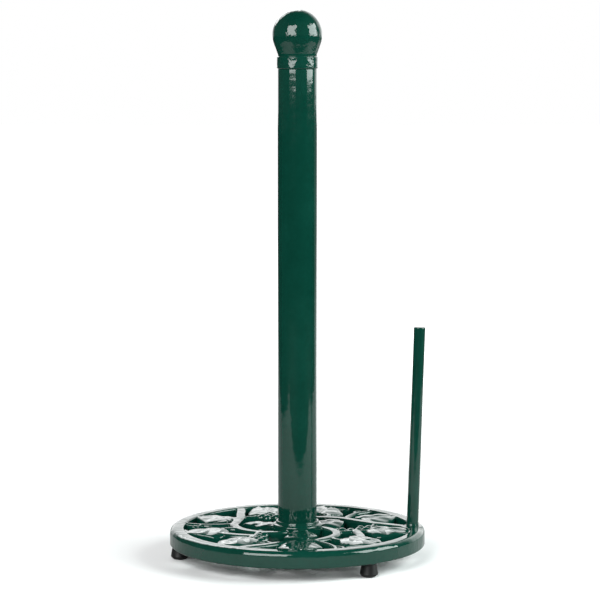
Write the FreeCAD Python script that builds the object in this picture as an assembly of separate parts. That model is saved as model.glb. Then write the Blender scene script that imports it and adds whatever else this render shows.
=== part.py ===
"""Freestanding paper towel holder: an openwork cast base with leaves and vine scrolls, a bolted tubular
post with a screw-on ball finial, a slim side arm that keeps the roll from unwinding, and three rubber feet.

Millimetres. The origin is on the table under the centre of the base, +Z runs up the post and +X points
at the side arm.
"""

import FreeCAD, Part
import math
import os

V = FreeCAD.Vector
UP = V(0, 0, 1)
ORIGIN = V(0, 0, 0)

# Base casting
BASE_R = 82.5
RIM_WIDTH = 9.0
RIM_HEIGHT = 11.0
RIM_OUTER_ROUND = 3.5
RIM_SMALL_ROUND = 1.2
FOOT_HEIGHT = 9.0
UNDERSIDE_Z = FOOT_HEIGHT
BASE_TOP_Z = UNDERSIDE_Z + RIM_HEIGHT
RIM_INNER_R = BASE_R - RIM_WIDTH
SECTORS = 3
SECTOR_DEG = 360.0 / SECTORS
FIRST_SECTOR_DEG = 30.0

# Vines, as (degrees past the sector's centre line, radius)
VINE_WIDTH = 6.4
VINE_TOP_Z = BASE_TOP_Z - 0.3
VINE_BOTTOM_Z = UNDERSIDE_Z + 1.5
VINE_SHOULDER = 2.6
SCROLL = [
    (-30, 77.5), (-27.5, 70.0), (-21, 60.0), (-13, 51.5), (2, 45.0), (18, 42.0),
    (34, 37.5), (50, 32.5), (66, 26.5), (82, 19.0), (98, 12.0),
]
LIMB_WIDTH = 5.8
LIMBS = [
    [(74, 39.0), (60, 46.5), (46, 57.0)],
]
BRANCH_WIDTH = 3.8
BRANCHES = [
    [(-12, 50.5), (-5, 52.5), (2, 57.0)],
    [(35, 37.3), (33, 45.0), (38, 54.0)],
    [(60, 28.5), (73, 38.5), (81, 54.0)],
    [(14, 43.0), (19, 51.0), (21, 62.0), (19, 75.0)],
    [(2, 12.0), (4, 17.0), (4, 22.0)],
]

# Leaves: (degrees past the centre line, radius of the stem end, turn of the midrib, length, width)
LEAVES = [
    (2, 49.5, -4, 27.0, 29.5),
    (42, 48.0, 6, 28.5, 28.5),
    (81, 48.0, -6, 28.5, 27.5),
    (3, 16.5, 8, 22.5, 22.0),
]
LEAF_OUTLINE = [
    # (via, end) of each arc down one side, as shares of the length and of half the width
    ((-0.05, 0.36), (0.08, 0.72)),
    ((0.22, 0.98), (0.40, 0.96)),
    ((0.52, 0.80), (0.62, 0.70)),
    ((0.82, 0.38), (1.00, 0.00)),
]
LEAF_CROWN_Z = BASE_TOP_Z + 0.5
LEAF_BOTTOM_Z = UNDERSIDE_Z + 1.5
LEAF_CROWN_R = 42.0
LEAF_CROWN_AT = 0.45
MIDRIB_WIDTH = 1.5
MIDRIB_RISE = 0.5
SIDE_VEIN_LENGTH = 0.42
SIDE_VEIN_TURN = 48.0

# Berries: (degrees past the centre line, radius)
BERRY_R = 3.1
BERRY_Z = BASE_TOP_Z - 2.6
BERRIES = [(-30, 46.0), (-36, 44.5), (-31, 41.0), (-40, 40.0), (-45, 35.5), (-45, 30.0), (-38, 50.0)]
BERRY_STEM_WIDTH = 2.6
BERRY_STEMS = [
    [(-15, 52.5), (-24, 47.5), (-33, 43.5), (-41, 38.0), (-45, 31.0)],
    [(-24, 47.5), (-31, 49.0), (-38, 50.0)],
    [(21, 62.0), (25, 66.5), (24, 71.0)],
]

# Hub and post
POST_R = 12.5
POST_WALL = 1.2
POST_TOP_Z = BASE_TOP_Z + 295.3
POST_TOP_ROUND = 0.9
SOCKET_FLOOR_Z = BASE_TOP_Z + 0.5
SOCKET_GAP = 0.05
HUB_R = 16.0
HUB_TOP_Z = BASE_TOP_Z + 2.2
SEAT_R = 13.9
SEAT_TOP_Z = BASE_TOP_Z + 4.3
SEAT_ROUND = 0.9
HUB_ROUND = 1.1
PLUG_LENGTH = 12.0
PLUG_DROP = 0.8
THREAD_GAP = 0.02

# Post bolt, M8, driven from below
BOLT_R = 4.0
BOLT_HOLE_R = 4.4
BOLT_HEAD_ACROSS = 13.0
BOLT_HEAD_HEIGHT = 5.3
COUNTERBORE_R = 9.2
COUNTERBORE_Z = UNDERSIDE_Z + 8.5
FLAT_WASHER_R = 8.0
FLAT_WASHER_THICK = 1.6
LOCK_WASHER_R = 7.2
LOCK_WASHER_THICK = 1.6
WASHER_SPLIT = 1.3
BOLT_REACH_Z = SOCKET_FLOOR_Z + PLUG_LENGTH - 1.5

# Finial and its stud, M8
BALL_R = 16.0
BALL_Z = BASE_TOP_Z + 316.9
TAPER_DEG = 20.0
TAPER_LOW_R = 12.65
GROOVE = (12.5, BASE_TOP_Z + 303.2)
COLLAR_R = 13.05
COLLAR_TOP_Z = BASE_TOP_Z + 302.4
COLLAR_ROUND = 0.7
STUD_R = 3.95
STUD_HOLE_R = 4.0
STUD_LOW_Z = POST_TOP_Z - 11.5
STUD_HIGH_Z = POST_TOP_Z + 14.0
STUD_HOLE_TOP_Z = POST_TOP_Z + 15.5
STUD_CHAMFER = 0.6

# Side arm, screwed to the rim from below, leaning a little outward
ARM_R = 3.75
ARM_FOOT_R = 4.0
ARM_FOOT_HEIGHT = 1.6
ARM_AT_R = 74.5
ARM_LENGTH = 130.0
ARM_LEAN_DEG = 1.8
ARM_TOP_ROUND = 0.6
ARM_BOSS_R = 7.0
ARM_SCREW_R = 2.5
ARM_SCREW_HOLE_R = 2.8
ARM_SCREW_DEPTH = 12.0
ARM_HEAD_R = 4.6
ARM_HEAD_HEIGHT = 2.8
ARM_HEX_ACROSS = 3.0
ARM_HEX_DEPTH = 1.6
ARM_COUNTERBORE_R = 5.2
ARM_COUNTERBORE_DEPTH = 5.0
ARM_WASHER_R = 4.4
ARM_WASHER_THICK = 1.2
ARM_WASHER_SPLIT = 0.8

# Rubber feet
FOOT_DEGS = {"foot_rear": 66.0, "foot_left": 186.0, "foot_right": 306.0}
FOOT_AT_R = 76.3
FOOT_TOP_R = 4.75
FOOT_BOTTOM_R = 5.75
FOOT_DOME_HEIGHT = 2.0
FOOT_FLAT_R = 2.2
FOOT_BOSS_R = 6.0
FOOT_BOSS_TOP_Z = BASE_TOP_Z - 1.5
FOOT_STEM_R = 2.9
FOOT_STEM_LENGTH = 5.5
FOOT_HOLE_EXTRA = 0.5


def polar(degrees, radius, z=0.0):
    """A point by its angle about the post and its distance from it."""
    a = math.radians(degrees)
    return V(radius * math.cos(a), radius * math.sin(a), z)


def turned(shape, degrees, about=ORIGIN, axis=UP):
    """A turned copy of a shape."""
    copy = shape.copy()
    copy.rotate(about, axis, degrees)
    return copy


def cylinder(radius, low, high, at=ORIGIN):
    """An upright cylinder between two heights."""
    return Part.makeCylinder(radius, high - low, V(at.x, at.y, low), UP)


def circles_at(shape, z, radius):
    """The circular edges of a shape at one height and radius."""
    found = []
    for e in shape.Edges:
        c = e.Curve
        if isinstance(c, Part.Circle) and abs(c.Center.z - z) < 1e-6 and abs(c.Radius - radius) < 1e-6:
            found.append(e)
    return found


def spun(points):
    """A solid of revolution about Z from (radius, z) points or, for an arc, (via, end) pairs."""
    start = V(points[0][0], 0, points[0][1])
    here, edges = start, []
    for p in points[1:]:
        if isinstance(p[0], tuple):
            via, end = (V(q[0], 0, q[1]) for q in p)
            edges.append(Part.Arc(here, via, end).toShape())
        else:
            end = V(p[0], 0, p[1])
            edges.append(Part.makeLine(here, end))
        here = end
    edges.append(Part.makeLine(here, start))
    return Part.Face(Part.Wire(edges)).revolve(ORIGIN, UP, 360)


def hexagon(across, low, high):
    """A hexagonal prism by its width across the flats."""
    corner = across / math.sqrt(3)
    corners = [polar(60 * i, corner, low) for i in range(6)]
    return Part.Face(Part.makePolygon(corners + corners[:1])).extrude(V(0, 0, high - low))


def vine(stations, width):
    """A stem with a rounded back that follows a smooth path of (degrees, radius) stations."""
    path = Part.BSplineCurve()
    path.interpolate([polar(a, r, VINE_BOTTOM_Z) for a, r in stations])
    spine = path.toShape()
    start = path.value(path.FirstParameter)
    along = V(*path.tangent(path.FirstParameter)[0])
    side = UP.cross(along).normalize()
    half, shoulder = width / 2, VINE_TOP_Z - VINE_SHOULDER
    low_left, low_right = start - side * half, start + side * half
    lift = V(0, 0, shoulder - VINE_BOTTOM_Z)
    crown = start + V(0, 0, VINE_TOP_Z - VINE_BOTTOM_Z)
    section = Part.Wire(
        [
            Part.makeLine(low_left, low_right),
            Part.makeLine(low_right, low_right + lift),
            Part.Arc(low_right + lift, crown, low_left + lift).toShape(),
            Part.makeLine(low_left + lift, low_left),
        ]
    )
    sweep = Part.BRepOffsetAPI.MakePipeShell(Part.Wire([spine]))
    sweep.setBiNormalMode(UP)
    sweep.add(section)
    sweep.build()
    sweep.makeSolid()
    return sweep.shape()


def leaf_outline(length, width):
    """A lobed leaf in plan, with its stem at the origin and its tip along +X."""
    left, right = [], []
    here = (0.0, 0.0)
    for via, end in LEAF_OUTLINE:
        spots = [(p[0] * length, p[1] * width / 2) for p in (here, via, end)]
        left.append(Part.Arc(*(V(x, y, 0) for x, y in spots)).toShape())
        right.append(Part.Arc(*(V(x, -y, 0) for x, y in spots)).toShape())
        here = end
    return Part.Wire(left + right[::-1])


def vein(length, turn, at):
    """A thin ridge that tapers along its length, from a point on the midrib."""
    half = MIDRIB_WIDTH / 2
    corners = [V(0, -half, 0), V(length, -half / 3, 0), V(length, half / 3, 0), V(0, half, 0)]
    ridge = Part.Face(Part.makePolygon(corners + corners[:1])).extrude(V(0, 0, BASE_TOP_Z))
    ridge.rotate(ORIGIN, UP, turn)
    ridge.translate(V(at, 0, LEAF_BOTTOM_Z))
    return ridge


def leaf(degrees, radius, turn, length, width):
    """A crowned leaf with a raised midrib and side veins, standing on its own outline."""
    blade = Part.Face(leaf_outline(length, width)).extrude(V(0, 0, BASE_TOP_Z))
    blade.translate(V(0, 0, LEAF_BOTTOM_Z))
    middle = V(length * LEAF_CROWN_AT, 0, LEAF_CROWN_Z - LEAF_CROWN_R)
    blade = blade.common(Part.makeSphere(LEAF_CROWN_R, middle))
    ridges = vein(length * 0.93, 0, 0)
    for turn_to in (SIDE_VEIN_TURN, -SIDE_VEIN_TURN):
        for share in (0.08, 0.38):
            ridges = ridges.fuse(vein(length * SIDE_VEIN_LENGTH * (1 - share), turn_to, length * share))
    ridges = ridges.common(Part.makeSphere(LEAF_CROWN_R + MIDRIB_RISE, middle))
    whole = blade.fuse(ridges)
    whole.rotate(ORIGIN, UP, degrees + turn)
    whole.translate(polar(degrees, radius))
    return whole


def berry(degrees, radius):
    """A round berry on a short drafted stub."""
    at = polar(degrees, radius)
    stub = cylinder(BERRY_R * 0.8, VINE_BOTTOM_Z, BERRY_Z, at)
    return Part.makeSphere(BERRY_R, V(at.x, at.y, BERRY_Z)).fuse(stub)


def sector():
    """One third of the openwork between the hub and the rim."""
    pieces = [vine(SCROLL, VINE_WIDTH)]
    pieces += [vine(limb, LIMB_WIDTH) for limb in LIMBS]
    pieces += [vine(b, BRANCH_WIDTH) for b in BRANCHES]
    pieces += [vine(s, BERRY_STEM_WIDTH) for s in BERRY_STEMS]
    pieces += [leaf(*spec) for spec in LEAVES]
    pieces += [berry(*spec) for spec in BERRIES]
    whole = pieces[0]
    for piece in pieces[1:]:
        whole = whole.fuse(piece)
    return turned(whole, FIRST_SECTOR_DEG)


def rim():
    """The outer ring, with a full round outer top edge."""
    ring = cylinder(BASE_R, UNDERSIDE_Z, BASE_TOP_Z).cut(cylinder(RIM_INNER_R, 0, 2 * BASE_TOP_Z))
    ring = ring.makeFillet(RIM_OUTER_ROUND, circles_at(ring, BASE_TOP_Z, BASE_R))
    small = circles_at(ring, BASE_TOP_Z, RIM_INNER_R) + circles_at(ring, UNDERSIDE_Z, BASE_R)
    return ring.makeFillet(RIM_SMALL_ROUND, small)


def hub():
    """The stepped boss that the post stands on."""
    body = cylinder(HUB_R, UNDERSIDE_Z, HUB_TOP_Z)
    body = body.makeFillet(HUB_ROUND, circles_at(body, HUB_TOP_Z, HUB_R))
    seat = cylinder(SEAT_R, HUB_TOP_Z - 1, SEAT_TOP_Z)
    seat = seat.makeFillet(SEAT_ROUND, circles_at(seat, SEAT_TOP_Z, SEAT_R))
    return body.fuse(seat)


def arm_line(shape):
    """Leans a shape built upright on the arm's axis, about the middle of the rim's top."""
    return turned(shape, ARM_LEAN_DEG, V(ARM_AT_R, 0, BASE_TOP_Z), V(0, 1, 0))


def arm_counterbore_z():
    """The height of the seat of the arm's screw."""
    return UNDERSIDE_Z + ARM_COUNTERBORE_DEPTH


def base_casting():
    """Rim, hub, leaves and vines as poured: one casting with its drilled holes."""
    at_arm = polar(0, ARM_AT_R)
    feet = [polar(d, FOOT_AT_R) for d in FOOT_DEGS.values()]
    third = sector()
    casting = hub()
    for i in range(SECTORS):
        casting = casting.fuse(turned(third, SECTOR_DEG * i))
    casting = casting.fuse(rim())
    for at in feet:
        casting = casting.fuse(cylinder(FOOT_BOSS_R, UNDERSIDE_Z, FOOT_BOSS_TOP_Z, at))
    casting = casting.fuse(cylinder(ARM_BOSS_R, UNDERSIDE_Z, BASE_TOP_Z, at_arm))
    tools = [
        cylinder(POST_R + SOCKET_GAP, SOCKET_FLOOR_Z, 2 * BASE_TOP_Z),
        cylinder(BOLT_HOLE_R, 0, SOCKET_FLOOR_Z),
        cylinder(COUNTERBORE_R, 0, COUNTERBORE_Z),
        arm_line(cylinder(ARM_SCREW_HOLE_R, 0, 2 * BASE_TOP_Z, at_arm)),
        arm_line(cylinder(ARM_COUNTERBORE_R, 0, arm_counterbore_z(), at_arm)),
    ]
    stem_top = UNDERSIDE_Z + FOOT_STEM_LENGTH + FOOT_HOLE_EXTRA
    tools += [cylinder(FOOT_STEM_R + THREAD_GAP, 0, stem_top, at) for at in feet]
    for tool in tools:
        casting = casting.cut(tool)
    return casting


def post_tube():
    """The steel tube that the roll's core slides over."""
    tube = cylinder(POST_R, SOCKET_FLOOR_Z, POST_TOP_Z).cut(cylinder(POST_R - POST_WALL, 0, 2 * POST_TOP_Z))
    return tube.makeFillet(POST_TOP_ROUND, circles_at(tube, POST_TOP_Z, POST_R))


def plug(low, thread_r):
    """A threaded steel plug fixed inside one end of the tube."""
    body = cylinder(POST_R - POST_WALL - THREAD_GAP, low, low + PLUG_LENGTH)
    return body.cut(cylinder(thread_r, 0, 2 * POST_TOP_Z))


def washer_flat():
    """The plain washer in the hub's counterbore."""
    low = COUNTERBORE_Z - FLAT_WASHER_THICK
    return cylinder(FLAT_WASHER_R, low, COUNTERBORE_Z).cut(cylinder(BOLT_HOLE_R, 0, BASE_TOP_Z))


def washer_split(outer, inner, low, high, gap):
    """A spring washer: a square-section ring with one slanting split."""
    ring = cylinder(outer, low, high).cut(cylinder(inner, low - 1, high + 1))
    slot = Part.makeBox(outer * 2, gap, (high - low) * 4, V(0, -gap / 2, low - 1.5 * (high - low)))
    return ring.cut(turned(slot, 25, V(0, 0, (low + high) / 2), V(1, 0, 0)))


def bolt_seat_z():
    """The height of the underside of the post bolt's washers, where its head bears."""
    return COUNTERBORE_Z - FLAT_WASHER_THICK - LOCK_WASHER_THICK


def post_bolt():
    """The hexagon-head bolt that pulls the post down into its seat."""
    head = hexagon(BOLT_HEAD_ACROSS, bolt_seat_z() - BOLT_HEAD_HEIGHT, bolt_seat_z())
    crown = spun(
        [
            (0, bolt_seat_z() - BOLT_HEAD_HEIGHT),
            (BOLT_HEAD_ACROSS / 2, bolt_seat_z() - BOLT_HEAD_HEIGHT),
            (BOLT_HEAD_ACROSS / 2 + 1.2, bolt_seat_z() - BOLT_HEAD_HEIGHT + 0.7),
            (BOLT_HEAD_ACROSS / 2 + 1.2, bolt_seat_z()),
            (0, bolt_seat_z()),
        ]
    )
    shank = cylinder(BOLT_R, bolt_seat_z() - 1, BOLT_REACH_Z)
    shank = shank.makeChamfer(STUD_CHAMFER, circles_at(shank, BOLT_REACH_Z, BOLT_R))
    return head.common(crown).fuse(shank)


def finial():
    """The ball, its tapered neck and its collar, bored from below for the stud."""
    groove_r, groove_z = GROOVE
    taper = math.radians(TAPER_DEG)
    neck_r, neck_z = BALL_R * math.cos(taper), BALL_Z - BALL_R * math.sin(taper)
    taper_low_z = neck_z - (neck_r - TAPER_LOW_R) / math.tan(taper)
    body = spun(
        [
            (0, POST_TOP_Z),
            (COLLAR_R - COLLAR_ROUND, POST_TOP_Z),
            (
                (COLLAR_R - COLLAR_ROUND * 0.29, POST_TOP_Z + COLLAR_ROUND * 0.29),
                (COLLAR_R, POST_TOP_Z + COLLAR_ROUND),
            ),
            (COLLAR_R, COLLAR_TOP_Z - 0.3),
            ((COLLAR_R - 0.08, COLLAR_TOP_Z), (groove_r, groove_z)),
            (TAPER_LOW_R, taper_low_z),
            (neck_r, neck_z),
            ((BALL_R, BALL_Z), (0, BALL_Z + BALL_R)),
        ]
    )
    return body.cut(cylinder(STUD_HOLE_R, 0, STUD_HOLE_TOP_Z))


def finial_stud():
    """The threaded stud that stands in the finial and screws into the tube's upper plug."""
    stud = cylinder(STUD_R, STUD_LOW_Z, STUD_HIGH_Z)
    ends = circles_at(stud, STUD_LOW_Z, STUD_R) + circles_at(stud, STUD_HIGH_Z, STUD_R)
    return stud.makeChamfer(STUD_CHAMFER, ends)


def side_arm():
    """The slim rod that holds the loose end of the roll, tapped at its foot."""
    foot_top = BASE_TOP_Z + ARM_FOOT_HEIGHT
    at = polar(0, ARM_AT_R)
    rod = cylinder(ARM_R, UNDERSIDE_Z, BASE_TOP_Z + ARM_LENGTH, at)
    rod = rod.makeFillet(ARM_TOP_ROUND, circles_at(rod, BASE_TOP_Z + ARM_LENGTH, ARM_R))
    foot = cylinder(ARM_FOOT_R, UNDERSIDE_Z, foot_top, at)
    foot = foot.makeChamfer(ARM_FOOT_R - ARM_R - 0.05, circles_at(foot, foot_top, ARM_FOOT_R))
    hole = cylinder(ARM_SCREW_R + THREAD_GAP, 0, BASE_TOP_Z + ARM_SCREW_DEPTH, at)
    leaning = arm_line(rod.fuse(foot).cut(hole))
    above = Part.makeBox(4 * BASE_R, 4 * BASE_R, 2 * POST_TOP_Z, V(-2 * BASE_R, -2 * BASE_R, BASE_TOP_Z))
    return leaning.common(above)


def arm_screw():
    """The button-head screw that holds the arm from below, with a hexagon socket."""
    at = polar(0, ARM_AT_R)
    seat = arm_counterbore_z() - ARM_WASHER_THICK
    head = cylinder(ARM_HEAD_R, seat - ARM_HEAD_HEIGHT, seat)
    head = head.makeFillet(ARM_HEAD_HEIGHT * 0.7, circles_at(head, seat - ARM_HEAD_HEIGHT, ARM_HEAD_R))
    head = head.cut(hexagon(ARM_HEX_ACROSS, 0, seat - ARM_HEAD_HEIGHT + ARM_HEX_DEPTH))
    shank = cylinder(ARM_SCREW_R, seat - 0.5, BASE_TOP_Z + ARM_SCREW_DEPTH - 1.5)
    screw = head.fuse(shank)
    screw.translate(at)
    return arm_line(screw)


def arm_washer():
    """The spring washer under the arm screw's head."""
    high = arm_counterbore_z()
    ring = washer_split(ARM_WASHER_R, ARM_SCREW_HOLE_R, high - ARM_WASHER_THICK, high, ARM_WASHER_SPLIT)
    ring.translate(polar(0, ARM_AT_R))
    return arm_line(ring)


def foot(degrees):
    """A push-in rubber foot: a cone that widens to a domed tread, with a stem pressed into the casting."""
    profile = [
        (0, 0),
        (FOOT_FLAT_R, 0),
        (
            (FOOT_BOTTOM_R - 1.0, FOOT_DOME_HEIGHT * 0.42),
            (FOOT_BOTTOM_R, FOOT_DOME_HEIGHT),
        ),
        (FOOT_TOP_R, FOOT_HEIGHT),
        (FOOT_STEM_R, FOOT_HEIGHT),
        (FOOT_STEM_R, FOOT_HEIGHT + FOOT_STEM_LENGTH - 0.8),
        (FOOT_STEM_R - 0.8, FOOT_HEIGHT + FOOT_STEM_LENGTH),
        (0, FOOT_HEIGHT + FOOT_STEM_LENGTH),
    ]
    body = spun(profile)
    body.translate(polar(degrees, FOOT_AT_R))
    return body


def nodes():
    """Every separate piece by its node name."""
    made = {
        "base_casting": base_casting(),
        "post_tube": post_tube(),
        "post_foot_plug": plug(SOCKET_FLOOR_Z, BOLT_R + THREAD_GAP),
        "post_head_plug": plug(POST_TOP_Z - PLUG_DROP - PLUG_LENGTH, STUD_HOLE_R),
        "post_flat_washer": washer_flat(),
        "post_lock_washer": washer_split(
            LOCK_WASHER_R, BOLT_HOLE_R, bolt_seat_z(), bolt_seat_z() + LOCK_WASHER_THICK, WASHER_SPLIT
        ),
        "post_bolt": post_bolt(),
        "finial": finial(),
        "finial_stud": finial_stud(),
        "side_arm": side_arm(),
        "arm_screw": arm_screw(),
        "arm_lock_washer": arm_washer(),
    }
    made.update({name: foot(degrees) for name, degrees in FOOT_DEGS.items()})
    return made


def main():
    os.makedirs("parts", exist_ok=True)
    for name, shape in nodes().items():
        box = shape.BoundBox
        print(
            f"{name}: {len(shape.Solids)} solid, {shape.Volume / 1000:.2f} cm3, valid {shape.isValid()},"
            f" z {box.ZMin:.2f} to {box.ZMax:.2f}, x {box.XMin:.2f} to {box.XMax:.2f}"
        )
        shape.exportStep(f"parts/{name}.step")


main()
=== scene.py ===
"""Looks for the green enamelled paper towel holder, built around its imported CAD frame.

Objects are in metres. Dimensions, profiles and the sculpting grid are in millimetres, and MM turns them
into metres.
"""

import math

import bmesh
import bpy
import numpy as np
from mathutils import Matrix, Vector


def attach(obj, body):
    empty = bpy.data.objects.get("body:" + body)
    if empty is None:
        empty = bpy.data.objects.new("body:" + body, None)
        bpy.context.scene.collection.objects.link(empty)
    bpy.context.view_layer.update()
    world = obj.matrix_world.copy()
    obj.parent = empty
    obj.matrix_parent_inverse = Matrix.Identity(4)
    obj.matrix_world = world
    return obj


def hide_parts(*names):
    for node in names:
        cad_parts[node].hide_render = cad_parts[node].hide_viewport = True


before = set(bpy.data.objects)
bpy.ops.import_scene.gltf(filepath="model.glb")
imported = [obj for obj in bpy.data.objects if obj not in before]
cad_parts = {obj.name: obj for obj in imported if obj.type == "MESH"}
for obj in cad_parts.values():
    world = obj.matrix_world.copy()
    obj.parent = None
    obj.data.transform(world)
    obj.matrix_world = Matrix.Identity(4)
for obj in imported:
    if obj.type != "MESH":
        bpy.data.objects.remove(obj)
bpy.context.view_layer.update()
MM = 0.001

# ---------------------------------------------------------------- dimensions, mm
BASE_R, RIM_INNER_R = 82.5, 73.5
UNDER_Z, TOP_Z = 9.0, 20.0
SECTOR_DEG, FIRST_DEG = 120.0, 30.0
GRID = 0.5

VINE_WIDTH, LIMB_WIDTH, BRANCH_WIDTH, TENDRIL_WIDTH = 6.8, 5.8, 3.8, 2.6
VINE_TOP_Z, VINE_LOW_Z = TOP_Z - 0.3, UNDER_Z + 1.5
# vines, stems and berries, as (degrees round from the sector's own zero, radius)
SCROLL = [
    (-30, 77.5), (-27.5, 70.0), (-21, 60.0), (-13, 51.5), (2, 45.0), (18, 42.0),
    (34, 37.5), (50, 32.5), (66, 26.5), (82, 19.0), (98, 12.0),
]
LIMBS = [
    [(74, 39.0), (60, 46.5), (46, 57.0)],
]
BRANCHES = [
    [(-12, 50.5), (-5, 52.5), (2, 57.0)],
    [(35, 37.3), (33, 45.0), (38, 54.0)],
    [(60, 28.5), (73, 38.5), (81, 54.0)],
    [(14, 43.0), (19, 51.0), (21, 62.0), (19, 75.0)],
    [(2, 12.0), (4, 17.0), (4, 22.0)],
]
TENDRILS = [
    [(-15, 52.5), (-24, 47.5), (-33, 43.5), (-41, 38.0), (-45, 31.0)],
    [(-24, 47.5), (-31, 49.0), (-38, 50.0)],
    [(21, 62.0), (25, 66.5), (24, 71.0)],
]
# leaves, as (degrees and radius of the stem's end, swing of the tip, length, width)
LEAVES = [
    (2, 49.5, -4, 27.0, 29.5),
    (42, 48.0, 6, 28.5, 28.5),
    (81, 48.0, -6, 28.5, 27.5),
    (3, 16.5, 8, 22.5, 22.0),
]
# one side of a leaf, as the (via, end) of each arc in shares of the length and of half the width
LEAF_OUTLINE = [
    ((-0.05, 0.36), (0.08, 0.72)),
    ((0.22, 0.98), (0.40, 0.96)),
    ((0.52, 0.80), (0.62, 0.70)),
    ((0.82, 0.38), (1.00, 0.00)),
]
LEAF_CROWN_Z, LEAF_LOW_Z = TOP_Z + 0.5, UNDER_Z + 1.5
LEAF_SIDE_DROP, LEAF_END_DROP, LEAF_CROWN_AT = 2.9, 1.7, 0.42
FURROW_DEPTH, FURROW_SPACING, FURROW_SLANT = 0.20, 0.42, 0.8
MIDRIB_RISE, MIDRIB_WIDTH, GROOVE_DEPTH, GROOVE_WIDTH = 0.45, 0.6, 0.75, 1.8
BERRY_R, BERRY_Z = 3.1, TOP_Z - 2.6
BERRIES = [(-30, 46.0), (-36, 44.5), (-31, 41.0), (-40, 40.0), (-45, 35.5), (-45, 30.0), (-38, 50.0)]
HUB_R, HUB_TOP_Z, SEAT_R, SEAT_TOP_Z = 16.0, 22.2, 13.9, 24.3
BOSS_R, FOOT_BOSS_R, FOOT_HOLE_R, FOOT_HOLE_TOP_Z = 7.0, 6.0, 2.92, 15.0
FOOT_DEGS, FOOT_AT_R = (66.0, 186.0, 306.0), 76.3
ARM_AT, ARM_LEAN = 74.5, math.radians(1.8)
SOCKET_R, SOCKET_Z, BOLT_HOLE_R, BOLT_RECESS_R, BOLT_RECESS_TOP_Z = 12.55, 20.5, 4.4, 9.2, 17.5
ARM_HOLE_R, ARM_HOLE_TOP_Z, ARM_RECESS_R, ARM_RECESS_TOP_Z = 2.8, 19.0, 5.2, 14.0
ARM_RECESS_AT = ARM_AT - 0.3
BASE_TRIANGLES = 190000


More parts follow.
